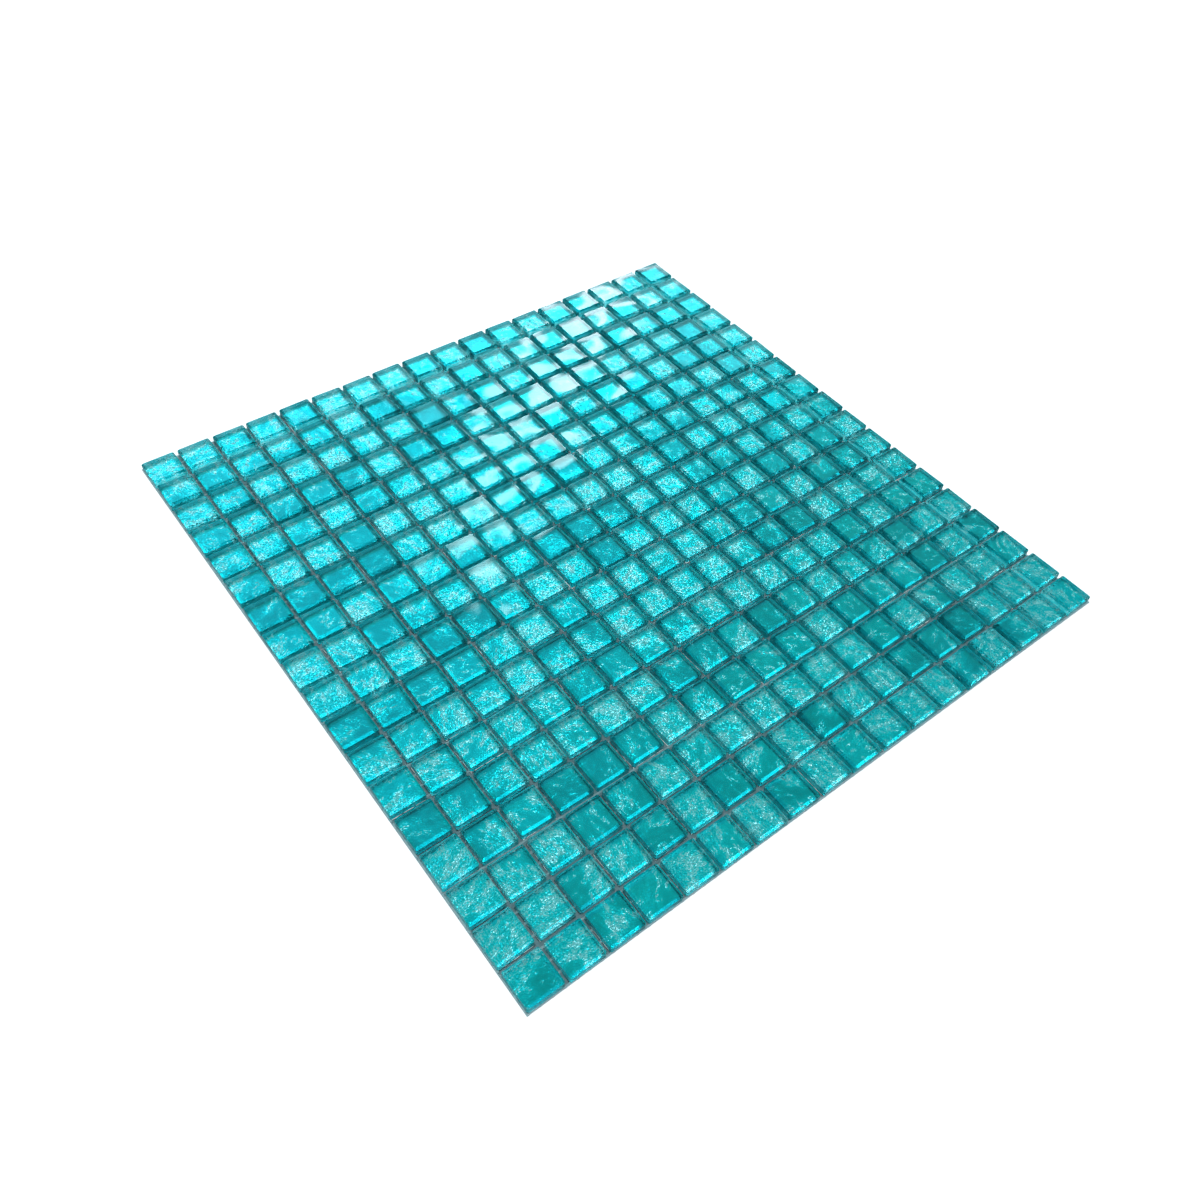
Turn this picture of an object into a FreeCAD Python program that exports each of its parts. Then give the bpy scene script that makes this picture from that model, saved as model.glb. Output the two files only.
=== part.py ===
import FreeCAD, Part
import os
import Sketcher

# A sheet of glass mosaic: square chips of clear glass, each with a metallic foil bonded to its back,
# glued in straight rows to an open net of flat glass-fibre yarns that keeps the joints even.
# All sizes are in millimetres. The sheet lies flat with its face up (+Z), its rows run along X,
# and the origin is at the middle of the underside of the net.

SIZES = [
    ("ChipSide", 15, "side of a square chip"),
    ("ChipCount", 18, "chips in a row, and rows in the sheet"),
    ("JointWidth", 1.7, "gap between neighbouring chips"),
    ("GlassThick", 4, "thickness of the clear glass"),
    ("ArrisSize", 0.9, "bevel round the top face of a chip"),
    ("FoilThick", 0.1, "thickness of the foil and its protective back coat"),
    ("NetSide", 300, "side of the square net, which is the nominal size of the sheet"),
    ("YarnCount", 61, "yarns each way, with one along each edge of the net"),
    ("YarnWidth", 1, "width of a flat yarn"),
    ("YarnThick", 0.2, "thickness of a flat yarn"),
    ("YarnTaper", 0.3, "width over which a yarn thins to its edge"),
]

doc = FreeCAD.newDocument("MosaicTileSheet")
sheet = doc.addObject("Spreadsheet::Sheet", "Sizes")
for line, (alias, value, meaning) in enumerate(SIZES, start=1):
    sheet.set(f"A{line}", meaning)
    sheet.set(f"B{line}", str(value))
    sheet.setAlias(f"B{line}", alias)
doc.recompute()

# Lengths that several pieces share, worked out from the cells.
CHIP_PITCH = "(Sizes.ChipSide + Sizes.JointWidth)"
FIELD_SIDE = f"(Sizes.ChipCount * {CHIP_PITCH} - Sizes.JointWidth)"
YARN_PITCH = "((Sizes.NetSide - Sizes.YarnWidth) / (Sizes.YarnCount - 1))"
NET_TOP = "(2 * Sizes.YarnThick)"
FOIL_TOP = f"({NET_TOP} + Sizes.FoilThick)"

SAME_HEIGHT = 1e-6


def origin_feature(body, role):
    """The plane or axis of a body's own origin that has this role."""
    return next(feature for feature in body.Origin.OriginFeatures if feature.Role == role)


def new_body(label):
    """An empty sub-part that may end as several solids, such as the chips of one row."""
    body = doc.addObject("PartDesign::Body", label)
    body.Label = label
    body.AllowCompound = True
    return body


def place(body, x, y, z):
    """Bind a sub-part's place in the sheet to the cells."""
    body.setExpression("Placement.Base.x", x)
    body.setExpression("Placement.Base.y", y)
    body.setExpression("Placement.Base.z", z)


def closed_sketch(body, name, plane, corners):
    """A sketch on one of the body's planes, with straight lines from corner to corner."""
    sketch = body.newObject("Sketcher::SketchObject", name)
    sketch.AttachmentSupport = [(origin_feature(body, plane), "")]
    sketch.MapMode = "FlatFace"
    points = [FreeCAD.Vector(x, y, 0) for x, y in corners]
    for start, end in zip(points, points[1:] + points[:1]):
        sketch.addGeometry(Part.LineSegment(start, end), False)
    for line in range(len(points)):
        sketch.addConstraint(Sketcher.Constraint("Coincident", line, 2, (line + 1) % len(points), 1))
    return sketch


def dimension(sketch, name, kind, first, second, expression):
    """A named distance between two line ends, each given as (line, end), bound to the cells."""
    start = sketch.getPoint(*first)
    end = sketch.getPoint(*second)
    length = end.x - start.x if kind == "DistanceX" else end.y - start.y
    number = sketch.addConstraint(Sketcher.Constraint(kind, *first, *second, length))
    sketch.renameConstraint(number, name)
    sketch.setExpression(f"Constraints.{name}", expression)


def chip_outline(body):
    """The square plan of one chip, with its corner on the body's origin."""
    side = sheet.ChipSide
    sketch = closed_sketch(body, "outline", "XY_Plane", [(0, 0), (side, 0), (side, side), (0, side)])
    bottom, right, top, left = range(4)
    for line in (bottom, top):
        sketch.addConstraint(Sketcher.Constraint("Horizontal", line))
    for line in (right, left):
        sketch.addConstraint(Sketcher.Constraint("Vertical", line))
    sketch.addConstraint(Sketcher.Constraint("Coincident", bottom, 1, -1, 1))
    dimension(sketch, "width", "DistanceX", (bottom, 1), (bottom, 2), "Sizes.ChipSide")
    dimension(sketch, "depth", "DistanceY", (right, 1), (right, 2), "Sizes.ChipSide")
    return sketch


def yarn_section(body, plane):
    """The flat six-sided section of one yarn, thinning to its two edges at half its height."""
    width, thick, taper = sheet.YarnWidth, sheet.YarnThick, sheet.YarnTaper
    sketch = closed_sketch(body, "section", plane, [
        (taper, 0), (width - taper, 0), (width, thick / 2),
        (width - taper, thick), (taper, thick), (0, thick / 2),
    ])
    bottom, low_right, high_right, top, high_left, low_left = range(6)
    for line in (bottom, top):
        sketch.addConstraint(Sketcher.Constraint("Horizontal", line))
    sketch.addConstraint(Sketcher.Constraint("PointOnObject", bottom, 1, -1))
    sketch.addConstraint(Sketcher.Constraint("PointOnObject", low_left, 1, -2))
    sketch.addConstraint(Sketcher.Constraint("Equal", low_left, high_left))
    sketch.addConstraint(Sketcher.Constraint("Equal", low_right, high_right))
    sketch.addConstraint(Sketcher.Constraint("Equal", low_left, low_right))
    sketch.addConstraint(Sketcher.Constraint("Equal", bottom, top))
    dimension(sketch, "width", "DistanceX", (low_left, 1), (high_right, 1), "Sizes.YarnWidth")
    dimension(sketch, "thickness", "DistanceY", (bottom, 1), (high_left, 1), "Sizes.YarnThick")
    dimension(sketch, "left_taper", "DistanceX", (low_left, 1), (low_left, 2), "Sizes.YarnTaper")
    dimension(sketch, "right_taper", "DistanceX", (low_right, 1), (low_right, 2), "Sizes.YarnTaper")
    return sketch


def pad(body, name, sketch, length, symmetric=False):
    """Give a sketch its thickness or its run."""
    feature = body.newObject("PartDesign::Pad", name)
    feature.Profile = sketch
    feature.SideType = "Symmetric" if symmetric else "One side"
    feature.setExpression("Length", length)
    doc.recompute()
    return feature


def repeat(body, axis, pitch, count):
    """Repeat all that the body holds, once that is made, along one of its axes."""
    doc.recompute()
    row = body.newObject("PartDesign::LinearPattern", "repeated")
    row.TransformMode = "Whole shape"
    row.Direction = (origin_feature(body, axis), [""])
    row.Mode = "Spacing"
    row.setExpression("Offset", pitch)
    row.setExpression("Occurrences", count)
    body.Tip = row


def top_edges(feature):
    """The edges round the top face of a pad."""
    top = feature.Shape.BoundBox.ZMax
    return [
        f"Edge{number}" for number, edge in enumerate(feature.Shape.Edges, start=1)
        if all(abs(vertex.Z - top) < SAME_HEIGHT for vertex in edge.Vertexes)
    ]


def row_place(row):
    """Where the first chip of a row has its corner, as expressions for x and y."""
    return f"-{FIELD_SIDE} / 2", f"{row} * {CHIP_PITCH} - {FIELD_SIDE} / 2"


def glass_chips(row):
    """One row of clear glass chips: cut squares with the arris softened round the top face."""
    body = new_body(f"glass_chips_row_{row + 1:02d}")
    chip = pad(body, "chip", chip_outline(body), "Sizes.GlassThick")
    arris = body.newObject("PartDesign::Chamfer", "arris")
    arris.Base = (chip, top_edges(chip))
    arris.setExpression("Size", "Sizes.ArrisSize")
    repeat(body, "X_Axis", CHIP_PITCH, "Sizes.ChipCount")
    place(body, *row_place(row), FOIL_TOP)
    return body


def foil_backs(row):
    """The foils of one row: each as large as its chip, because glass and foil are cut together."""
    body = new_body(f"foil_backs_row_{row + 1:02d}")
    pad(body, "foil", chip_outline(body), "Sizes.FoilThick")
    repeat(body, "X_Axis", CHIP_PITCH, "Sizes.ChipCount")
    place(body, *row_place(row), NET_TOP)
    return body


def net_yarns(label, section_plane, across, x, y, z):
    """All the yarns that run one way: one long flat yarn, repeated side by side."""
    body = new_body(label)
    pad(body, "yarn", yarn_section(body, section_plane), "Sizes.NetSide", symmetric=True)
    repeat(body, across, YARN_PITCH, "Sizes.YarnCount")
    place(body, x, y, z)
    return body


# The warp lies underneath, and the weft lies on it and carries the foils.
warp = net_yarns("net_warp_yarns", "XZ_Plane", "X_Axis", "-Sizes.NetSide / 2", "0", "0")
weft = net_yarns("net_weft_yarns", "YZ_Plane", "Y_Axis", "0", "-Sizes.NetSide / 2", "Sizes.YarnThick")
foils = [foil_backs(row) for row in range(int(sheet.ChipCount))]
glass = [glass_chips(row) for row in range(int(sheet.ChipCount))]
doc.recompute()

for made in doc.Objects:
    if "Invalid" in made.State or "Error" in made.State:
        raise RuntimeError(f"{made.Label} was not made: {made.State}")

pieces = {body: int(sheet.ChipCount) for body in foils + glass}
pieces.update({body: int(sheet.YarnCount) for body in (warp, weft)})
for body, count in pieces.items():
    if body.Shape.isNull() or not body.Shape.isValid() or len(body.Shape.Solids) != count:
        raise RuntimeError(f"{body.Label} is not {count} sound solids")

os.makedirs("parts", exist_ok=True)
for body in pieces:
    body.Shape.exportStep(f"parts/{body.Label}.step")

for body in (warp, weft, foils[0], glass[0], glass[-1]):
    box = body.Shape.BoundBox
    print(f"{body.Label}: {len(body.Shape.Solids)} solids, {body.Shape.Volume:.1f} mm3,"
          f" x {box.XMin:.2f} to {box.XMax:.2f}, y {box.YMin:.2f} to {box.YMax:.2f},"
          f" z {box.ZMin:.2f} to {box.ZMax:.2f}")
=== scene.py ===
# %% [markdown]
# # A sheet of foil-backed glass mosaic
#
# The object is a loose sheet of small glass tiles, as a tiler takes it out of the box. Each chip is
# clear glass with a crinkled metallic foil on its back, and a net of glass-fibre yarns holds the
# chips in even rows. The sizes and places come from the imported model, which this file loads first,
# so that every piece that is made here already sits where it belongs.

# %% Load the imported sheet
import math
import bpy
from mathutils import Matrix, Vector


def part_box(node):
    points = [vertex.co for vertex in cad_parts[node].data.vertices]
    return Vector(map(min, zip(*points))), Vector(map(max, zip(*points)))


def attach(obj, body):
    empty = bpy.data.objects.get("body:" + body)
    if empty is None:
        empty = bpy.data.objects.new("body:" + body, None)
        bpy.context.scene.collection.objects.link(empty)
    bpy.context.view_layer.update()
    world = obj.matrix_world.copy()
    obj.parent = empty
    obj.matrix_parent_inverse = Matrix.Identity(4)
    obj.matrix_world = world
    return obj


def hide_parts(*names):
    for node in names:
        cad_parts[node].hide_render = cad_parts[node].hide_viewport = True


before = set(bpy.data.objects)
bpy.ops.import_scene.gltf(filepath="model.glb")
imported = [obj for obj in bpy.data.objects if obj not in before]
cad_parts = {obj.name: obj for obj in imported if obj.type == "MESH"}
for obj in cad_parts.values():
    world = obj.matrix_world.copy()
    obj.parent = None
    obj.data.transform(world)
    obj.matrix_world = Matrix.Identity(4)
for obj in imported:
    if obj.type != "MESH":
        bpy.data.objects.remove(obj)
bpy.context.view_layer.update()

# %% [markdown]
# The names of the rows say how many there are, and the boxes of the first two rows give a chip's
# side and the step from one chip to the next. Reading these from the model, and not typing them in
# again, keeps the dressed sheet and the model the same size.

# %% Read the sizes
MM = 0.001

glass_rows = sorted(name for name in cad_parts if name.startswith("glass_chips_row_"))
foil_rows = sorted(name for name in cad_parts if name.startswith("foil_backs_row_"))
glass_low, glass_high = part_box(glass_rows[0])
foil_low, foil_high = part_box(foil_rows[0])
warp_low, warp_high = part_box("net_warp_yarns")
weft_low, weft_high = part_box("net_weft_yarns")

row_count = len(glass_rows)
chip_side = glass_high.y - glass_low.y
chip_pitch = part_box(glass_rows[1])[0].y - glass_low.y
joint_width = chip_pitch - chip_side
net_side = warp_high.x - warp_low.x
print(row_count, "rows of chips,", round(chip_side / MM, 2), "mm square, joints",
      round(joint_width / MM, 2), "mm")


# %% [markdown]
# ## Colours and nodes
#
# Blender's shaders work on linear light, while a colour that is read off a picture is an sRGB value.
# One function turns the familiar hex form into the linear one. A second one adds a node, with its
# settings and with its inputs given either as values or as other nodes, so that each material below
# reads from top to bottom as a list of what goes into it.

# %% Helpers for colours and nodes
def colour(hex_code):
    """An sRGB hex colour such as "#2FA8A0" as linear red, green, blue and alpha."""
    parts = [int(hex_code[place:place + 2], 16) / 255 for place in (1, 3, 5)]
    return [p / 12.92 if p <= 0.04045 else ((p + 0.055) / 1.055) ** 2.4 for p in parts] + [1.0]


def socket(sockets, name):
    """The socket in use that has this name, or the one at this place in the list."""
    if isinstance(name, int):
        return sockets[name]
    return next(s for s in sockets if s.enabled and name in (s.name, s.identifier))


def add(tree, kind, inputs=None, **settings):
    """Add a node. An input is a value, another node or one of its sockets."""
    node = tree.nodes.new(kind)
    for name, value in settings.items():
        setattr(node, name, value)
    for name, value in (inputs or {}).items():
        if isinstance(value, bpy.types.Node):
            value = next(s for s in value.outputs if s.enabled)
        if isinstance(value, bpy.types.NodeSocket):
            tree.links.new(value, socket(node.inputs, name))
        else:
            socket(node.inputs, name).default_value = value
    return node


def new_material(name):
    """An empty material and its node tree, ready for a shader."""
    material = bpy.data.materials.new(name)
    material.use_nodes = True
    material.node_tree.nodes.clear()
    return material, material.node_tree


# %% [markdown]
# ## The glass
#
# The chips are cut from clear soda-lime glass, which has an index of refraction of 1.52 and a faint
# green-blue body colour. Its top face is fire-polished: the melt sets without touching a tool, so the
# face mirrors a window sharply but waves a little. One wave is about 16 mm long, longer than a chip,
# and every chip was cut from another spot of the plate. So the noise is read at a random place for
# each chip, and neighbours mirror slightly different parts of the room. The face rises by only about
# a quarter of a millimetre over a chip and never shows in outline, so a bump does it, without faces.
#
# The photo holds almost no red, even where the glass mirrors white light. A specular tint that keeps
# a fifth of the red gives that cold mirror image. Real glass reflects all colours alike, so this is
# the one value here that follows the photo and not the substance.

# %% Material: clear glass
CLEAR_GLASS = {
    "Base Color": colour("#E6FAF8"), "IOR": 1.52, "Transmission Weight": 1.0,
    "Specular Tint": (0.2, 1.0, 1.0, 1.0),
}
WAVE_LENGTH = 16 * MM
NOISE_HEIGHT = 0.7 * MM  # from the noise's 0 to its 1, of which one chip uses about a third
FAR_APART = (0.9, 0.7, 0.8)  # metres over which the random places in the plate or leaf are spread


def clear_glass():
    """Gives a sharp, slightly waving mirror image over a clear depth."""
    material, tree = new_material("clear soda-lime glass, fire-polished")
    place = add(tree, "ShaderNodeAttribute", attribute_name="chip_place").outputs["Vector"]
    draw = add(tree, "ShaderNodeAttribute", attribute_name="chip_draw").outputs["Vector"]
    own = add(tree, "ShaderNodeVectorMath", {0: draw, 1: FAR_APART, 2: place},
              operation="MULTIPLY_ADD")
    slow = add(tree, "ShaderNodeTexNoise", {"Vector": own, "Scale": 1 / WAVE_LENGTH, "Detail": 0.0})
    bump = add(tree, "ShaderNodeBump", {"Height": slow, "Strength": 1.0, "Distance": NOISE_HEIGHT})
    glass = add(tree, "ShaderNodeBsdfPrincipled",
                {**CLEAR_GLASS, "Roughness": 0.01, "Normal": bump})
    add(tree, "ShaderNodeOutputMaterial", {"Surface": glass})
    return material


glass_material = clear_glass()
print("made", glass_material.name)


# %% [markdown]
# ## The sawn edge
#
# The four walls of a chip are cut, not poured. A saw or a scoring wheel leaves them clear but with a
# faint bloom, where the lacquer of the foil also creeps up a little. An eighth of teal diffuse light
# mixed into the clear glass gives that bloom. More of it would turn the walls to solid colour and
# hide what makes them look like glass: seen from above, they mirror the foil from the inside, as a
# teal band round each bright patch.

# %% Material: sawn glass edge
BLOOM = 0.12


def sawn_edge():
    """Gives the teal bands beside the joints, which are the foil mirrored inside the glass."""
    material, tree = new_material("clear soda-lime glass, sawn and lightly ground")
    clear = add(tree, "ShaderNodeBsdfPrincipled", {**CLEAR_GLASS, "Roughness": 0.02})
    bloom = add(tree, "ShaderNodeBsdfDiffuse", {"Color": colour("#00E4EA")})
    edge = add(tree, "ShaderNodeMixShader", {0: BLOOM, 1: clear, 2: bloom})
    add(tree, "ShaderNodeOutputMaterial", {"Surface": edge})
    return material


edge_material = sawn_edge()
print("made", edge_material.name)


# %% [markdown]
# ## The foil
#
# The colour of the sheet is not in the glass. It is a thin metal leaf under a teal lacquer, pressed
# on to the back of the glass, and it never lies quite flat: some chips are smooth and look milky,
# others are crinkled all over and glitter, and many are both. The crinkle could be modelled, but at
# 0.4 mm from grain to grain it would take millions of faces, and nothing about it shows in outline.
# So patterns do it, in three steps: where the leaf is crinkled, how bright its lacquer is from spot to
# spot, with a painted glint on its brightest spots, and which way each grain leans.
#
# All of them are read in a frame that is turned and shifted by chance for each chip, so that no two
# chips crinkle the same way. It comes from two attributes that the chips are given when they are
# laid: where a point lies in its chip, and three random numbers for the chip. Squeezing one axis to
# 0.55 draws the grains out into short streaks, as rolling does to real leaf.

# %% A frame of its own for each leaf
STREAK = 0.55


def leaf_frame(tree):
    """A point's place in the leaf of its own chip, and the chip's three random numbers."""
    place = add(tree, "ShaderNodeAttribute", attribute_name="chip_place").outputs["Vector"]
    draw = add(tree, "ShaderNodeAttribute", attribute_name="chip_draw").outputs["Vector"]
    draws = add(tree, "ShaderNodeSeparateXYZ", {"Vector": draw}).outputs
    angle = add(tree, "ShaderNodeMath", {0: draws["X"], 1: 2 * math.pi}, operation="MULTIPLY")
    turned = add(tree, "ShaderNodeVectorRotate", {"Vector": place, "Angle": angle},
                 rotation_type="Z_AXIS")
    shift = add(tree, "ShaderNodeVectorMath", {0: draw, 1: FAR_APART}, operation="MULTIPLY")
    own = add(tree, "ShaderNodeVectorMath", {0: turned, 1: (1.0, STREAK, 1.0), 2: shift},
              operation="MULTIPLY_ADD")
    return own, draws


# %% [markdown]
# ### Where it is crinkled
#
# A leaf that was pressed on well is smooth, and one that slipped is crinkled, often over half a chip.
# Slow blotches about 12 mm wide give that, and a level from the chip's own random number decides how
# much of the blotches counts. Noise hovers between 0.3 and 0.7, so with a level in that range a chip
# comes out anywhere from smooth to crinkled all over.

# %% Where the leaf is crinkled
BLOTCH = 12 * MM


def crinkles(tree, own, draws):
    """One where the leaf is crinkled and zero where it is smooth."""
    blotch = add(tree, "ShaderNodeTexNoise", {"Vector": own, "Scale": 1 / BLOTCH, "Detail": 2.0})
    level = add(tree, "ShaderNodeMapRange", {"Value": draws["Y"], "To Min": 0.30, "To Max": 0.62})
    above = add(tree, "ShaderNodeMath", {0: blotch, 1: level}, operation="SUBTRACT")
    return add(tree, "ShaderNodeMapRange", {"Value": above, "From Min": -0.09, "From Max": 0.11},
               interpolation_type="SMOOTHSTEP")


# %% [markdown]
# ### Filaments
#
# Filaments are the thin ridges of the leaf; they lean steeply and are given a painted glint. A noise
# passes its middle value along fine wavy lines, and its distance from that value is a measure of how near
# such a line is. The noise of the patches keeps only some stretches of the lines, as short broken
# threads.

# %% Thin ridges of the leaf
THREAD_WAVE = 1.6 * MM


def filaments(tree, own, patches):
    """One on a thin ridge of the leaf and zero beside it."""
    wander = add(tree, "ShaderNodeTexNoise",
                 {"Vector": own, "Scale": 1 / THREAD_WAVE, "Detail": 2.0, "Distortion": 0.8})
    middle = add(tree, "ShaderNodeMath", {0: wander, 1: 0.5}, operation="SUBTRACT")
    off = add(tree, "ShaderNodeMath", {0: middle}, operation="ABSOLUTE")
    ridge = add(tree, "ShaderNodeMapRange",
                {"Value": off, "From Min": 0.012, "From Max": 0.055, "To Min": 1.0, "To Max": 0.0})
    kept = add(tree, "ShaderNodeMapRange", {"Value": patches, "From Min": 0.50, "From Max": 0.62})
    return add(tree, "ShaderNodeMath", {0: ridge, 1: kept}, operation="MULTIPLY")


# %% [markdown]
# ### How bright the lacquer is, with a painted glint
#
# Lacquer that lies thick looks deep teal, and thinner lacquer a lighter teal. The near-white end of the
# ramp is a painted glint: the brightest grains and the filaments are given it in place of the white
# highlights that the metal would mirror. One number from 0 to 1 stands for that, and a colour ramp turns
# it to teal. A smooth chip has a share of its own. A crinkled one varies with a noise of 0.4 mm, because
# a picture dot covers 0.4 mm of the sheet and finer grains couldn't show. Filaments get a painted glint
# on top, and patches of 2.5 mm shift it all a little.

# %% How bright the lacquer is, with a painted glint
GRAIN = 0.40 * MM
# The filaments' painted glint: a lighter lacquer tone added where a ridge would catch the light.
FILAMENT_PAINTED_GLINT = 0.45


def lacquer_tint_and_painted_glint(tree, own, draws, crinkled, filament, patches):
    """The colour of each spot, from deep teal to a painted near-white glint."""
    grain = add(tree, "ShaderNodeTexNoise",
                {"Vector": own, "Scale": 1 / GRAIN, "Detail": 1.0, "Roughness": 0.5})
    grain_tone_and_glint = add(tree, "ShaderNodeMapRange", {
        "Value": grain, "From Min": 0.32, "From Max": 0.61, "To Min": 0.62, "To Max": 0.93})
    rest = add(tree, "ShaderNodeMapRange", {"Value": draws["Z"], "To Min": 0.30, "To Max": 0.62})
    lively = add(tree, "ShaderNodeMix", {"Factor": crinkled, "A": rest, "B": grain_tone_and_glint})
    # The filaments get their painted glint here.
    glow = add(tree, "ShaderNodeMath", {0: filament, 1: FILAMENT_PAINTED_GLINT, 2: lively},
               operation="MULTIPLY_ADD")
    patchy = add(tree, "ShaderNodeMapRange", {
        "Value": patches, "From Min": 0.35, "From Max": 0.65, "To Min": -0.10, "To Max": 0.10})
    # The tone with its painted glint, clamped for the ramp.
    light = add(tree, "ShaderNodeMath", {0: glow, 1: patchy}, operation="ADD", use_clamp=True)
    tint = add(tree, "ShaderNodeValToRGB", {"Fac": light})
    ramp = tint.color_ramp
    ramp.elements[0].color = colour("#009BA4")
    # The near-white end of the ramp is a painted glint.
    ramp.elements[1].color = colour("#B0FEFF")
    ramp.elements.new(0.50).color = colour("#00CCD5")
    ramp.elements.new(0.80).color = colour("#10EEF6")
    return tint


# %% [markdown]
# ### Which way the leaf leans
#
# Metal glitters because each grain mirrors another spot of the room. Two channels of a noise serve
# as a random slope. It averages about 4 degrees where the leaf is crinkled, under half a degree where
# it is smooth and over ten on a filament. Steeper crinkles would scatter the window's image and wipe
# out the bright strips under the bevels. A normal map takes the slopes, and not a bump, because a
# bump reads the height at neighbouring picture dots and would change with the distance. The normal
# is in object space, where flat leaf looks straight up: 0.5, 0.5, 1.

# %% Which way the leaf leans
SWAY = 0.50 * MM
SMOOTH_SLOPE, CRINKLED_SLOPE, FILAMENT_SLOPE = 0.03, 0.27, 0.8


def leaf_lean(tree, own, crinkled, filament):
    """The direction in which each spot of the leaf faces."""
    sway = add(tree, "ShaderNodeTexNoise", {"Vector": own, "Scale": 1 / SWAY, "Detail": 1.0})
    lean = add(tree, "ShaderNodeVectorMath", {0: sway.outputs["Color"], 1: (0.5, 0.5, 0.5)},
               operation="SUBTRACT")
    gentle = add(tree, "ShaderNodeMapRange",
                 {"Value": crinkled, "To Min": SMOOTH_SLOPE, "To Max": CRINKLED_SLOPE})
    slope = add(tree, "ShaderNodeMath", {0: filament, 1: FILAMENT_SLOPE, 2: gentle},
                operation="MULTIPLY_ADD")
    leaning = add(tree, "ShaderNodeVectorMath", {0: lean, "Scale": slope}, operation="SCALE")
    flatten = add(tree, "ShaderNodeVectorMath",
                  {0: leaning, 1: (1.0, 1.0, 0.0), 2: (0.5, 0.5, 1.0)}, operation="MULTIPLY_ADD")
    return add(tree, "ShaderNodeNormalMap", {"Color": flatten, "Strength": 1.0}, space="OBJECT")


# %% [markdown]
# ### The leaf itself
#
# The metal is aluminium leaf under tinted lacquer. It is fully metallic, and the lacquer's teal is
# the colour of its mirror image. Two sharpnesses are mixed: a leaf with a clear image, and a third of
# haze for the wrinkles that are too fine to draw. A single value in between would lose the glitter.

# %% Material: lacquered foil
PATCH = 2.5 * MM
HAZE = 0.34


def lacquered_foil():
    """Gives the teal glitter, the milky chips and the thin filaments; the brightest glints are partly
    painted into the colour.
    """
    material, tree = new_material("metal leaf under teal lacquer, crinkled")
    own, draws = leaf_frame(tree)
    patches = add(tree, "ShaderNodeTexNoise", {"Vector": own, "Scale": 1 / PATCH, "Detail": 1.0})
    crinkled = crinkles(tree, own, draws)
    filament = filaments(tree, own, patches)
    metal = {
        "Base Color": lacquer_tint_and_painted_glint(tree, own, draws, crinkled, filament, patches),
        "Metallic": 1.0, "Normal": leaf_lean(tree, own, crinkled, filament),
    }
    leaf = add(tree, "ShaderNodeBsdfPrincipled", {**metal, "Roughness": 0.10})
    haze = add(tree, "ShaderNodeBsdfPrincipled", {**metal, "Roughness": 0.36})
    foil = add(tree, "ShaderNodeMixShader", {0: HAZE, 1: leaf, 2: haze})
    add(tree, "ShaderNodeOutputMaterial", {"Surface": foil})
    return material


foil_material = lacquered_foil()
print("made", foil_material.name, "from", len(foil_material.node_tree.nodes), "nodes")


# %% [markdown]
# ## The back coat
#
# Under the foil is a matt lacquer that keeps the alkaline tile adhesive away from the metal. It is
# brushed or rolled on, so its tone clouds a little over a few millimetres. The photo doesn't show it,
# so it is plain: a dull grey-green with a weak bump from the same clouds.

# %% Material: back coat
def clouded(name, wave, dark, light, height, roughness):
    """Gives a dull surface whose tone and height drift with one noise of this wave length."""
    material, tree = new_material(name)
    place = add(tree, "ShaderNodeTexCoord").outputs["Object"]
    cloud = add(tree, "ShaderNodeTexNoise", {"Vector": place, "Scale": 1 / wave, "Detail": 4.0})
    tint = add(tree, "ShaderNodeMix", {"Factor": cloud, 6: colour(dark), 7: colour(light)},
               data_type="RGBA")
    bump = add(tree, "ShaderNodeBump", {"Height": cloud, "Distance": height})
    surface = add(tree, "ShaderNodeBsdfPrincipled",
                  {"Base Color": tint.outputs[2], "Roughness": roughness, "Normal": bump})
    add(tree, "ShaderNodeOutputMaterial", {"Surface": surface})
    return material


coat_material = clouded("protective lacquer back coat, matt",
                        4 * MM, "#7FA9A8", "#A9C2C0", 0.05 * MM, 0.6)
print("made", coat_material.name)

# %% [markdown]
# ## The yarn and the adhesive
#
# The net is woven from flat glass-fibre yarns and stiffened with resin, which leaves it off-white
# with a slight sheen. Its fibres are hundredths of a millimetre thick, far too fine to show, so a
# noise of 0.4 mm stands in for the bundles that they form.
#
# The adhesive that bonds the chips to the net squeezes into the joints as a thin grey skin, dull with
# dust. Along the rim of the sheet the same adhesive is given an almost white colour, a painted light for
# the light that the rim catches from the viewer's side. All three are the same function as the back coat,
# with other colours and other waves.

# %% Materials: yarn and adhesive
yarn_material = clouded("glass-fibre yarn, woven and stiffened with resin",
                        0.4 * MM, "#D2D7D8", "#F6F8F8", 0.06 * MM, 0.55)
joint_glue = clouded("polymer adhesive, dried and dusty",
                     1.5 * MM, "#98A2A6", "#C8CED0", 0.1 * MM, 0.6)
# Painted light: a lighter copy of the joints' adhesive, for the light that the rim of the sheet catches.
rim_glue_painted_light = clouded("polymer adhesive, painted lighter at the rim",
                   1.5 * MM, "#E6EAEA", "#FAFBFB", 0.1 * MM, 0.6)
print("made", yarn_material.name, "and two tones of adhesive")


# %% [markdown]
# ## One chip
#
# A real chip is a square cut from a poured plate, with a narrow flat bevel ground round its top face
# so that nobody cuts a hand on it. The bevel matters more to the eye than its 0.9 mm suggest. It bends
# the view like a prism, so chips show a bright strip of foil along the edges turned to the viewer.
#
# The chip is a stack of square outlines with cut corners, joined by faces: one at the bottom, one
# where the bevel starts and one round the top face. A bevel modifier on a cube could make the same
# shape, but a few outlines are easier to keep at exact heights, and they stay at two dozen points.
# The faces are left flat-shaded, because both the walls and the bevel are ground flat.
#
# All chips are copies of one pattern. Each is laid with a tilt of up to a third of a degree, so the
# pattern is 0.09 mm lower than the modelled chip, which keeps every tilted corner inside its size.
# The foil is a hair smaller than the glass and pressed a hair into it, so that no two faces coincide.

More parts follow.
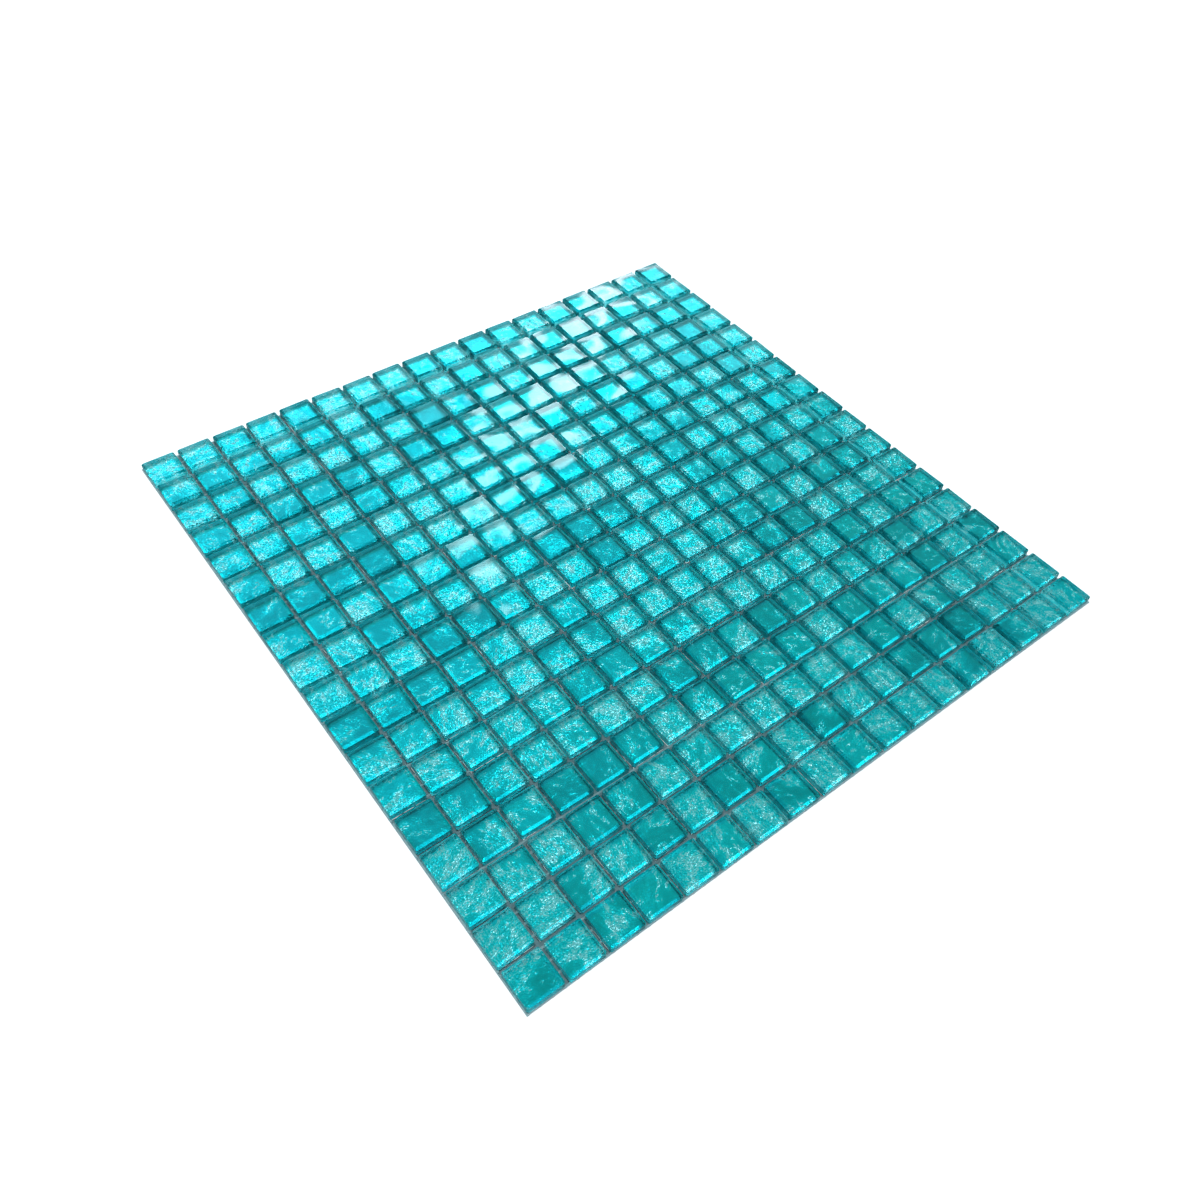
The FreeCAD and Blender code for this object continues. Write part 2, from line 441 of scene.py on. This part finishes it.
# %% One glass chip and one foil
CORNER_CUT = 0.45 * MM
LEAST_CUT = 0.2 * MM  # round the top face, where the bevel leaves less of the corner to cut
BEVEL = 0.9 * MM
TILT_ROOM = 0.09 * MM
FOIL_INSET = 0.05 * MM
FOIL_CONTACT = 0.02 * MM


def outline(inset, height):
    """The eight corners of a square with cut corners that lies this far inside the chip's side."""
    reach = chip_side / 2 - inset
    near = reach - max(CORNER_CUT - inset, LEAST_CUT)
    return [(reach, near, height), (near, reach, height), (-near, reach, height),
            (-reach, near, height), (-reach, -near, height), (-near, -reach, height),
            (near, -reach, height), (reach, -near, height)]


def stacked_solid(name, levels):
    """A closed solid through outlines given as (inset, height) from the bottom to the top."""
    rings = [outline(inset, height) for inset, height in levels]
    count = len(rings[0])
    points = [point for ring in rings for point in ring]
    faces = [tuple(reversed(range(count)))]
    for ring in range(len(rings) - 1):
        for place in range(count):
            after = (place + 1) % count
            faces.append((ring * count + place, ring * count + after,
                          (ring + 1) * count + after, (ring + 1) * count + place))
    faces.append(tuple(range((len(rings) - 1) * count, len(rings) * count)))
    mesh = bpy.data.meshes.new(name)
    mesh.from_pydata(points, [], faces)
    piece = bpy.data.objects.new(name, mesh)
    bpy.context.scene.collection.objects.link(piece)
    return piece


foil_thick = foil_high.z - foil_low.z
glass_base = foil_thick - FOIL_CONTACT
glass_top = glass_high.z - foil_low.z - TILT_ROOM
chip_pattern = stacked_solid(
    "chip_pattern", [(0, glass_base), (0, glass_top - BEVEL), (BEVEL, glass_top)])
foil_pattern = stacked_solid("foil_pattern", [(FOIL_INSET, 0), (FOIL_INSET, foil_thick)])
print("a chip has", len(chip_pattern.data.polygons), "faces and is",
      round((glass_top - glass_base) / MM, 2), "mm thick")


# %% [markdown]
# ## Laying the chips
#
# In the factory the chips drop into a grid of pockets before the net is glued on, so their spacing is
# even but never perfect: each sits a fraction of a millimetre off and a fraction of a degree askew.
# That slack is what makes a real sheet look laid and not printed, above all where chips mirror light.
#
# An array modifier could repeat the chip, but it repeats it exactly. A Geometry Nodes tree places the
# pattern on the points of a grid and gives every copy its own shift and turn from a fixed seed. It
# also stores two attributes for the materials: where each point lies within its own chip, taken
# before copying, and three random numbers for the chip, taken once for each copy. Foils and glass
# are laid by the same tree with the same seed, so every foil stays under its own chip.
#
# Two small helpers come first. One starts a tree with named inputs, and the other runs a tree and
# keeps its result as a plain mesh, because the export and the checks work on meshes.

# %% Helpers for geometry nodes
def group(name, inputs):
    """A geometry node group with these named inputs, given as (name, kind, default)."""
    tree = bpy.data.node_groups.new(name, "GeometryNodeTree")
    for title, kind, default in inputs:
        made = tree.interface.new_socket(title, in_out="INPUT", socket_type=kind)
        if default is not None:
            made.default_value = default
    tree.interface.new_socket("Geometry", in_out="OUTPUT", socket_type="NodeSocketGeometry")
    return tree, add(tree, "NodeGroupInput").outputs


def grow(name, tree, values):
    """Run a node group with these inputs and return its result as a plain mesh object."""
    piece = bpy.data.objects.new(name, bpy.data.meshes.new(name))
    bpy.context.scene.collection.objects.link(piece)
    modifier = piece.modifiers.new("grow", "NODES")
    modifier.node_group = tree
    for item in tree.interface.items_tree:
        if item.item_type == "SOCKET" and item.in_out == "INPUT" and item.name in values:
            modifier[item.identifier] = values[item.name]
    evaluated = piece.evaluated_get(bpy.context.evaluated_depsgraph_get())
    mesh = bpy.data.meshes.new_from_object(evaluated)
    piece.modifiers.clear()
    piece.data = mesh
    mesh.name = name
    print(name, len(mesh.vertices), "points,", len(mesh.polygons), "faces")
    return piece


# %% [markdown]
# The spots are a grid of points. Each is shifted by a random vector, which lies between minus and
# plus the greatest shift on both axes, and all are lifted on to the net.

# %% Geometry nodes: a spot for each chip
def spots_on_grid(tree, given):
    """One point for each chip, shifted by chance and lifted on to the net."""
    steps = add(tree, "ShaderNodeMath", {0: given["Count"], 1: 1.0}, operation="SUBTRACT")
    span = add(tree, "ShaderNodeMath", {0: steps, 1: given["Pitch"]}, operation="MULTIPLY")
    grid = add(tree, "GeometryNodeMeshGrid", {
        "Size X": span, "Size Y": span, "Vertices X": given["Count"], "Vertices Y": given["Count"]})
    spots = add(tree, "GeometryNodeMeshToPoints", {"Mesh": grid.outputs["Mesh"]})
    away = add(tree, "ShaderNodeCombineXYZ", {"X": given["Shift"], "Y": given["Shift"]})
    back = add(tree, "ShaderNodeVectorMath", {0: away, "Scale": -1.0}, operation="SCALE")
    slip = add(tree, "FunctionNodeRandomValue",
               {"Min": back, "Max": away, "Seed": given["Seed"]}, data_type="FLOAT_VECTOR")
    lift = add(tree, "ShaderNodeCombineXYZ", {"Z": given["Base Height"]})
    move = add(tree, "ShaderNodeVectorMath", {0: slip, 1: lift}, operation="ADD")
    return add(tree, "GeometryNodeSetPosition", {"Geometry": spots, "Offset": move})


# %% [markdown]
# The copies are instances until the end, so the random numbers that are drawn on them come once for
# each chip. The place in the chip is stored on the pattern before that, so it is the same in every
# copy. The tilt and turn use the next seed and the stored numbers the one after it, because the same
# seed would tie a chip's turn to its shift.

# %% Geometry nodes: a copy on each spot
def copies_on_spots(tree, given, spots):
    """The pattern on each point, tilted and turned by chance, with its two attributes."""
    lean = add(tree, "ShaderNodeCombineXYZ", {"X": given["Tilt"], "Y": given["Tilt"], "Z": given["Turn"]})
    lean_back = add(tree, "ShaderNodeVectorMath", {0: lean, "Scale": -1.0}, operation="SCALE")
    seed_2 = add(tree, "ShaderNodeMath", {0: given["Seed"], 1: 1.0}, operation="ADD")
    turn = add(tree, "FunctionNodeRandomValue",
               {"Min": lean_back, "Max": lean, "Seed": seed_2}, data_type="FLOAT_VECTOR")
    pattern = add(tree, "GeometryNodeObjectInfo", {"Object": given["Pattern"]})
    here = add(tree, "GeometryNodeInputPosition")
    marked = add(tree, "GeometryNodeStoreNamedAttribute", {
        "Geometry": pattern.outputs["Geometry"], "Name": "chip_place", "Value": here,
    }, data_type="FLOAT_VECTOR", domain="POINT")
    copies = add(tree, "GeometryNodeInstanceOnPoints",
                 {"Points": spots, "Instance": marked, "Rotation": turn})
    seed_3 = add(tree, "ShaderNodeMath", {0: given["Seed"], 1: 2.0}, operation="ADD")
    draw = add(tree, "FunctionNodeRandomValue",
               {"Min": (0, 0, 0), "Max": (1, 1, 1), "Seed": seed_3}, data_type="FLOAT_VECTOR")
    drawn = add(tree, "GeometryNodeStoreNamedAttribute", {
        "Geometry": copies, "Name": "chip_draw", "Value": draw,
    }, data_type="FLOAT_VECTOR", domain="INSTANCE")
    return add(tree, "GeometryNodeRealizeInstances", {"Geometry": drawn})


# %% [markdown]
# The material of a face follows from the way it points: up, sideways or down. Testing the normal's
# height does for every chip at once what would be a choice of faces by hand.

# %% Geometry nodes: a material for each face
WALL_BELOW = 0.3  # a normal that rises or falls by less than this is a wall's
UNDER_BELOW = -0.5  # a normal that is lower than this is the underside's


def set_by_direction(tree, given, chips):
    """The chips with a material each for their top and bevel, their walls and their underside."""
    faced = add(tree, "GeometryNodeSetMaterial", {"Geometry": chips, "Material": given["Face Material"]})
    normal = add(tree, "ShaderNodeSeparateXYZ", {"Vector": add(tree, "GeometryNodeInputNormal")})
    steep = add(tree, "ShaderNodeMath", {0: normal.outputs["Z"]}, operation="ABSOLUTE")
    side = add(tree, "FunctionNodeCompare", {"A": steep, "B": WALL_BELOW},
               data_type="FLOAT", operation="LESS_THAN")
    sided = add(tree, "GeometryNodeSetMaterial",
                {"Geometry": faced, "Selection": side, "Material": given["Side Material"]})
    under = add(tree, "FunctionNodeCompare", {"A": normal.outputs["Z"], "B": UNDER_BELOW},
                data_type="FLOAT", operation="LESS_THAN")
    return add(tree, "GeometryNodeSetMaterial",
               {"Geometry": sided, "Selection": under, "Material": given["Under Material"]})


# %% [markdown]
# The whole tree joins the three steps. Its inputs have names and not fixed values, so the glass and
# the foils can be laid by one tree, each with its own pattern and materials.

# %% Geometry nodes: the whole tree
def laid_chips():
    """A tree that lays copies of a pattern on a square grid, each a little out of true."""
    tree, given = group("lay chips on a grid", [
        ("Pattern", "NodeSocketObject", None),
        ("Count", "NodeSocketInt", 18),
        ("Pitch", "NodeSocketFloat", 0.0167),
        ("Base Height", "NodeSocketFloat", 0.0),
        ("Shift", "NodeSocketFloat", 0.0),
        ("Turn", "NodeSocketFloat", 0.0),
        ("Tilt", "NodeSocketFloat", 0.0),
        ("Seed", "NodeSocketInt", 0),
        ("Face Material", "NodeSocketMaterial", None),
        ("Side Material", "NodeSocketMaterial", None),
        ("Under Material", "NodeSocketMaterial", None),
    ])
    spots = spots_on_grid(tree, given)
    chips = copies_on_spots(tree, given, spots)
    add(tree, "NodeGroupOutput", {"Geometry": set_by_direction(tree, given, chips)})
    return tree


# %% Lay the glass and the foils
lay = laid_chips()
laying = {
    "Count": row_count, "Pitch": chip_pitch, "Base Height": foil_low.z,
    "Shift": 0.25 * MM, "Turn": math.radians(0.9), "Tilt": math.radians(0.35), "Seed": 7,
}
glass_chips = grow("glass_chips", lay, {
    **laying, "Pattern": chip_pattern, "Face Material": glass_material,
    "Side Material": edge_material, "Under Material": glass_material})
foil_backs = grow("foil_backs", lay, {
    **laying, "Pattern": foil_pattern, "Face Material": foil_material,
    "Side Material": foil_material, "Under Material": coat_material})
for pattern in (chip_pattern, foil_pattern):
    bpy.data.objects.remove(pattern)


# %% [markdown]
# ## The net and the adhesive
#
# The net is two sets of parallel yarns, one across the other, with one yarn about every 5 mm. Each
# yarn is a flattened tube: a straight curve that carries a six-sided section squashed to the yarn's
# width and thickness. One tree makes a yarn and copies it side by side. 61 yarns as loose objects
# would look the same, but a change would have to be made to each.
#
# The adhesive in the joints has the same form as a wide thin yarn with a wavy outline. So the same
# tree makes it, with other numbers and with a noise that bends the copies.

# %% Geometry nodes: one flat strand
def one_strand(tree, given):
    """A straight line along Y that carries a squashed hexagon."""
    half = add(tree, "ShaderNodeMath", {0: given["Length"], 1: 0.5}, operation="MULTIPLY")
    minus = add(tree, "ShaderNodeMath", {0: half, 1: -1.0}, operation="MULTIPLY")
    start = add(tree, "ShaderNodeCombineXYZ", {"Y": minus})
    end = add(tree, "ShaderNodeCombineXYZ", {"Y": half})
    line = add(tree, "GeometryNodeCurvePrimitiveLine", {"Start": start, "End": end})
    fine = add(tree, "GeometryNodeResampleCurve", {"Curve": line, "Count": given["Parts"]})
    circle = add(tree, "GeometryNodeCurvePrimitiveCircle", {"Resolution": 6, "Radius": 0.5})
    squash = add(tree, "ShaderNodeCombineXYZ", {"X": given["Width"], "Y": given["Thickness"], "Z": 1.0})
    section = add(tree, "GeometryNodeTransform", {"Geometry": circle, "Scale": squash})
    return add(tree, "GeometryNodeCurveToMesh",
               {"Curve": fine, "Profile Curve": section, "Fill Caps": True})


# %% Geometry nodes: copies from side to side
def copies_across(tree, given, strand):
    """The strand side by side along X, in even steps, at its height above the ground."""
    first = add(tree, "ShaderNodeMath", {0: given["Spread"], 1: -0.5}, operation="MULTIPLY")
    last = add(tree, "ShaderNodeMath", {0: given["Spread"], 1: 0.5}, operation="MULTIPLY")
    across = add(tree, "GeometryNodeMeshLine", {
        "Count": given["Count"],
        "Start Location": add(tree, "ShaderNodeCombineXYZ", {"X": first, "Z": given["Height"]}),
        "Offset": add(tree, "ShaderNodeCombineXYZ", {"X": last, "Z": given["Height"]}),
    }, mode="END_POINTS")
    copies = add(tree, "GeometryNodeInstanceOnPoints", {"Points": across, "Instance": strand})
    return add(tree, "GeometryNodeRealizeInstances", {"Geometry": copies})


# %% [markdown]
# Each channel of a noise hovers about a half, so less that half it pushes the points to and fro. Two
# inputs scale the push sideways and up and down, and at zero a strand stays straight.

# %% Geometry nodes: bend them by a noise
STRAND_WAVE = 1.6 * MM


def bent(tree, given, copies):
    """The strands moved sideways and up and down by a noise that changes over the sheet."""
    wander = add(tree, "ShaderNodeTexNoise", {"Scale": 1 / STRAND_WAVE, "Detail": 1.0})
    centred = add(tree, "ShaderNodeVectorMath",
                  {0: wander.outputs["Color"], 1: (0.5, 0.5, 0.5)}, operation="SUBTRACT")
    reach = add(tree, "ShaderNodeCombineXYZ", {"X": given["Sway"], "Z": given["Unevenness"]})
    swing = add(tree, "ShaderNodeVectorMath", {0: centred, 1: reach}, operation="MULTIPLY")
    return add(tree, "GeometryNodeSetPosition", {"Geometry": copies, "Offset": swing})


# %% Geometry nodes: strands side by side
def side_by_side():
    """A tree that lays flat strands side by side along Y, or along X after a quarter turn."""
    tree, given = group("side by side yarns", [
        ("Count", "NodeSocketInt", 61),
        ("Length", "NodeSocketFloat", 0.3),
        ("Spread", "NodeSocketFloat", 0.299),
        ("Parts", "NodeSocketInt", 61),
        ("Width", "NodeSocketFloat", 0.001),
        ("Thickness", "NodeSocketFloat", 0.0002),
        ("Height", "NodeSocketFloat", 0.0001),
        ("Sway", "NodeSocketFloat", 0.0001),
        ("Unevenness", "NodeSocketFloat", 0.0),
        ("Quarter Turn", "NodeSocketFloat", 0.0),
        ("Material", "NodeSocketMaterial", None),
    ])
    swayed = bent(tree, given, copies_across(tree, given, one_strand(tree, given)))
    turn = add(tree, "ShaderNodeCombineXYZ", {"Z": given["Quarter Turn"]})
    turned = add(tree, "GeometryNodeTransform", {"Geometry": swayed, "Rotation": turn})
    done = add(tree, "GeometryNodeSetMaterial", {"Geometry": turned, "Material": given["Material"]})
    add(tree, "NodeGroupOutput", {"Geometry": done})
    return tree


strands = side_by_side()


# %% [markdown]
# The yarns of the net lie straight, as the resin that stiffens them is cured under tension. Their
# number and their width are typed in here, because the box of a whole layer doesn't tell them.

# %% The two layers of the net
YARN_COUNT = 61
YARN_WIDTH = 1.0 * MM

yarns = {
    "Count": YARN_COUNT, "Length": net_side, "Spread": net_side - YARN_WIDTH, "Parts": 61,
    "Width": YARN_WIDTH, "Sway": 0.0, "Unevenness": 0.0, "Material": yarn_material,
}
net_warp = grow("net_warp", strands, {
    **yarns, "Thickness": warp_high.z - warp_low.z, "Height": (warp_high.z + warp_low.z) / 2,
    "Quarter Turn": 0.0})
net_weft = grow("net_weft", strands, {
    **yarns, "Thickness": weft_high.z - weft_low.z, "Height": (weft_high.z + weft_low.z) / 2,
    "Quarter Turn": math.pi / 2})

# %% [markdown]
# The adhesive is a film within the thickness of the net, one strand under each joint both ways and
# one along each side of the sheet. A joint's film is half a millimetre wider than the joint, because
# it reaches under the chips. All strands end 0.3 mm before the net's edge, and those along the sides
# keep 0.2 mm away from it, so that no wave of their outline carries them past it.

# %% The adhesive
FILM_THICK = 0.22 * MM
FILM_HEIGHT = 0.22 * MM
FILM_WAVES = 0.10 * MM
END_GAP = 0.3 * MM
REACH_UNDER = 0.5 * MM
RIM_WIDTH = 0.9 * MM
RIM_INSET = 0.65 * MM

film = {
    "Parts": 240, "Thickness": FILM_THICK, "Height": FILM_HEIGHT, "Unevenness": FILM_WAVES,
    "Length": net_side - 2 * END_GAP,
}
joint_film = {
    **film, "Count": row_count - 1, "Width": joint_width + REACH_UNDER,
    "Spread": chip_pitch * (row_count - 2), "Sway": 0.4 * MM, "Material": joint_glue,
}
rim_film = {
    **film, "Count": 2, "Width": RIM_WIDTH,
    "Spread": net_side - 2 * RIM_INSET, "Sway": 0.3 * MM, "Material": rim_glue_painted_light,
}
films = [
    grow("adhesive_joints_across", strands, {**joint_film, "Quarter Turn": math.pi / 2}),
    grow("adhesive_joints_along", strands, {**joint_film, "Quarter Turn": 0.0}),
    grow("adhesive_rims_across", strands, {**rim_film, "Quarter Turn": math.pi / 2}),
    grow("adhesive_rims_along", strands, {**rim_film, "Quarter Turn": 0.0}),
]

# %% [markdown]
# ## Handing the pieces over
#
# The sheet is one piece of stock that moves as a whole, so every piece rides on the body "root". Each
# dressed piece stands for the rows or yarns of the imported model that it replaces, and those are hidden.
# The adhesive has no piece of its own in the model and goes with the net.

# %% Hand the pieces over
for piece, nodes, slot in (
    (glass_chips, glass_rows, "clear_glass"),
    (foil_backs, foil_rows, "teal_foil"),
    (net_warp, ["net_warp_yarns"], "net_yarn"),
    (net_weft, ["net_weft_yarns"], "net_yarn"),
):
    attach(piece, "root")
    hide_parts(*nodes)
for piece in films:
    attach(piece, "root")
print("pieces handed over:", 4 + len(films))


# %% [markdown]
# ## The floor
#
# The photo shows the sheet on pure white with hardly a shadow. A floor of pale matt paper keeps the
# true contact shadow, and a little glow on top of it makes it white. The Light Path node gives that
# glow only to what the camera sees, straight or through glass, so it never lights the sheet.

# %% Floor
FLOOR_SIDE = 8.0
FLOOR_DROP = 0.01 * MM
FLOOR_GLOW = 0.80


def studio_floor():
    """Gives a white ground that still takes a soft shadow."""
    material, tree = new_material("matt white paper, seamless")
    paper = add(tree, "ShaderNodeBsdfDiffuse", {"Color": colour("#E8E8E8")})
    glow = add(tree, "ShaderNodeEmission", {"Color": (1, 1, 1, 1), "Strength": FLOOR_GLOW})
    path = add(tree, "ShaderNodeLightPath").outputs
    seen = add(tree, "ShaderNodeMath", {0: path["Is Camera Ray"], 1: path["Is Transmission Ray"]},
               operation="MAXIMUM")
    both = add(tree, "ShaderNodeAddShader", {0: paper, 1: glow})
    mixed = add(tree, "ShaderNodeMixShader", {0: seen, 1: paper, 2: both})
    add(tree, "ShaderNodeOutputMaterial", {"Surface": mixed})
    return material


half = FLOOR_SIDE / 2
floor_mesh = bpy.data.meshes.new("floor")
floor_mesh.from_pydata([(-half, -half, 0), (half, -half, 0), (half, half, 0), (-half, half, 0)], [],
                       [(0, 1, 2, 3)])
floor_mesh.materials.append(studio_floor())
floor = bpy.data.objects.new("floor", floor_mesh)
bpy.context.scene.collection.objects.link(floor)
floor.location.z = -FLOOR_DROP
print("the floor is", FLOOR_SIDE, "m square")


# %% [markdown]
# ## The window
#
# Foil and glass show their surroundings more than their own colour, so the light was worked out
# backwards, from what the chips mirror in the photo. At the middle of the sheet the mirror image
# comes from about 47 degrees above the floor and glitters without being bright all over, and at the
# far chips, at 33 degrees, it is bright all over. So there is a wide low window behind the sheet
# whose upper edge lies in between, near 39 degrees.
#
# One large area lamp makes it. Its power follows from the brightness wanted: an area lamp sends out
# its radiance times pi times its area, so the helper takes the radiance, where 1 is paper white.

# %% Window
DAYLIGHT = "#DCF4FF"


def direction(azimuth, elevation):
    """A unit vector towards this azimuth, from +X towards +Y, and elevation, both in degrees."""
    a, e = math.radians(azimuth), math.radians(elevation)
    return Vector((math.cos(a) * math.cos(e), math.sin(a) * math.cos(e), math.sin(e)))


def softbox(name, azimuth, elevation, distance, width, height, radiance):
    """A rectangular lamp that faces the sheet from this direction."""
    data = bpy.data.lights.new(name, "AREA")
    data.shape = "RECTANGLE"
    data.size, data.size_y = width, height
    data.energy = radiance * math.pi * width * height
    data.color = colour(DAYLIGHT)[:3]
    lamp = bpy.data.objects.new(name, data)
    bpy.context.scene.collection.objects.link(lamp)
    way = direction(azimuth, elevation)
    lamp.location = way * distance
    lamp.rotation_euler = (-way).to_track_quat("-Z", "Y").to_euler()
    lamp.visible_camera = False
    return lamp


window = softbox("window wall", azimuth=64, elevation=22, distance=2.0,
                 width=2.20, height=1.20, radiance=1.35)
print("the window shines with", round(window.data.energy, 1), "W")


# %% [markdown]
# ## The room
#
# The world is the rest of the room: a soft ramp that is brightest towards the window and colder to
# its right, because the chips on the right of the photo hold almost no red. A panorama of a real
# room would do as well, but a ramp has only a few numbers, and each can be matched to one part of
# the sheet. Every stop has its place from the dark side to the bright one, a brightness and a colour.

# %% Room light
ROOM_STOPS = [
    (0.20, 0.58, DAYLIGHT), (0.55, 0.56, DAYLIGHT), (0.80, 0.54, "#96EEFA"),
    (0.89, 0.56, "#E2F8EA"), (0.95, 0.78, DAYLIGHT), (1.00, 1.00, "#D4EEFF"),
]
TO_WINDOW = direction(80, 35)


def room_light(tree, way):
    """The ramp from the dark side of the room to its bright side."""
    toward = add(tree, "ShaderNodeVectorMath", {0: way, 1: TO_WINDOW}, operation="DOT_PRODUCT")
    spread = add(tree, "ShaderNodeMapRange", {"Value": toward.outputs["Value"], "From Min": -1.0})
    lit = add(tree, "ShaderNodeValToRGB", {"Fac": spread})
    stops = lit.color_ramp.elements
    while len(stops) < len(ROOM_STOPS):
        stops.new(0.5)
    for stop, (place, level, tint) in zip(stops, ROOM_STOPS):
        stop.position = place
        stop.color = [level * part for part in colour(tint)[:3]] + [1.0]
    return lit


# %% [markdown]
# A slanting strip of chips in the photo is milky white, so a strip of bright sky lies behind it in
# the mirror. Its middle is less than a degree wide, it fades out over 4 degrees, and it runs up to
# the left. The gentle waves in the glass break it up, so that one chip catches it and its neighbour
# doesn't. Two dot products make it: a direction is in the strip if it lies close to the plane
# through the sheet and both ends of the strip, and within some degrees of the strip's middle.

# %% Strip of sky
SKY_LOW, SKY_HIGH = direction(49, 34), direction(58, 46)
CORE, FADED = math.radians(0.3), math.radians(1.9)
END_STARTS, END_FADED = math.radians(6), math.radians(10)
# The red is stronger, because the cold mirror of the glass keeps only a fifth of it.
SKY_RADIANCE = (15.0, 8.0, 8.4)


def sky_strip(tree, way):
    """One inside the strip between the two ends of bright sky, with soft edges, and zero elsewhere."""
    across = add(tree, "ShaderNodeVectorMath", {0: way, 1: SKY_LOW.cross(SKY_HIGH).normalized()},
                 operation="DOT_PRODUCT")
    aside = add(tree, "ShaderNodeMath", {0: across.outputs["Value"]}, operation="ABSOLUTE")
    inside = add(tree, "ShaderNodeMapRange", {
        "Value": aside, "From Min": math.sin(FADED), "From Max": math.sin(CORE),
    }, interpolation_type="SMOOTHSTEP")
    along = add(tree, "ShaderNodeVectorMath", {0: way, 1: (SKY_LOW + SKY_HIGH).normalized()},
                operation="DOT_PRODUCT")
    within = add(tree, "ShaderNodeMapRange", {
        "Value": along.outputs["Value"], "From Min": math.cos(END_FADED),
        "From Max": math.cos(END_STARTS)}, interpolation_type="SMOOTHSTEP")
    return add(tree, "ShaderNodeMath", {0: inside, 1: within}, operation="MULTIPLY")


# %% [markdown]
# The world adds the strip to the ramp for everything but the camera. The camera sees plain white, as
# the photo shows it, and that white never reaches the sheet.

# %% Room
def studio_world():
    """The room and its sky for the sheet, and plain white for the camera."""
    made = bpy.data.worlds.new("studio")
    made.use_nodes = True
    tree = made.node_tree
    tree.nodes.clear()
    way = add(tree, "ShaderNodeTexCoord").outputs["Generated"]
    whole = add(tree, "ShaderNodeVectorMath", {
        0: sky_strip(tree, way), 1: SKY_RADIANCE, 2: room_light(tree, way),
    }, operation="MULTIPLY_ADD")
    room = add(tree, "ShaderNodeBackground", {"Color": whole, "Strength": 1.0})
    white = add(tree, "ShaderNodeBackground", {"Color": (1, 1, 1, 1), "Strength": 1.0})
    direct = add(tree, "ShaderNodeLightPath").outputs["Is Camera Ray"]
    seen = add(tree, "ShaderNodeMixShader", {0: direct, 1: room, 2: white})
    add(tree, "ShaderNodeOutputWorld", {"Surface": seen})
    return made


bpy.context.scene.world = studio_world()
print("the room has", len(ROOM_STOPS), "levels and one strip of sky")

# %% [markdown]
# ## The camera
#
# The four corners of a flat square fix a camera completely. These values were fitted so that the
# corners of the net fall on the corners in the photo: a slightly wide lens 45 cm away, looking down
# by 50 degrees, tipped by six degrees as a hand-held camera is. The matrix is set in one piece: first
# the aim, then the roll about the line of sight.

# %% Camera
EYE = Vector((-220.4, -241.2, 346.3)) * MM
LOOK_AT = Vector((-28.3, -29.7, 4.0)) * MM
ROLL = math.radians(5.97)
LENS = 32.17

camera_data = bpy.data.cameras.new("camera")
camera_data.lens = LENS
camera_data.sensor_width = 36.0
camera = bpy.data.objects.new("camera", camera_data)
bpy.context.scene.collection.objects.link(camera)
aim = (LOOK_AT - EYE).to_track_quat("-Z", "Y").to_matrix().to_4x4()
camera.matrix_world = Matrix.Translation(EYE) @ aim @ Matrix.Rotation(ROLL, 4, "Z")
bpy.context.scene.camera = camera
bpy.context.scene.view_settings.view_transform = "Standard"
print("the camera stands", round((EYE - LOOK_AT).length, 3), "m from the point it looks at")
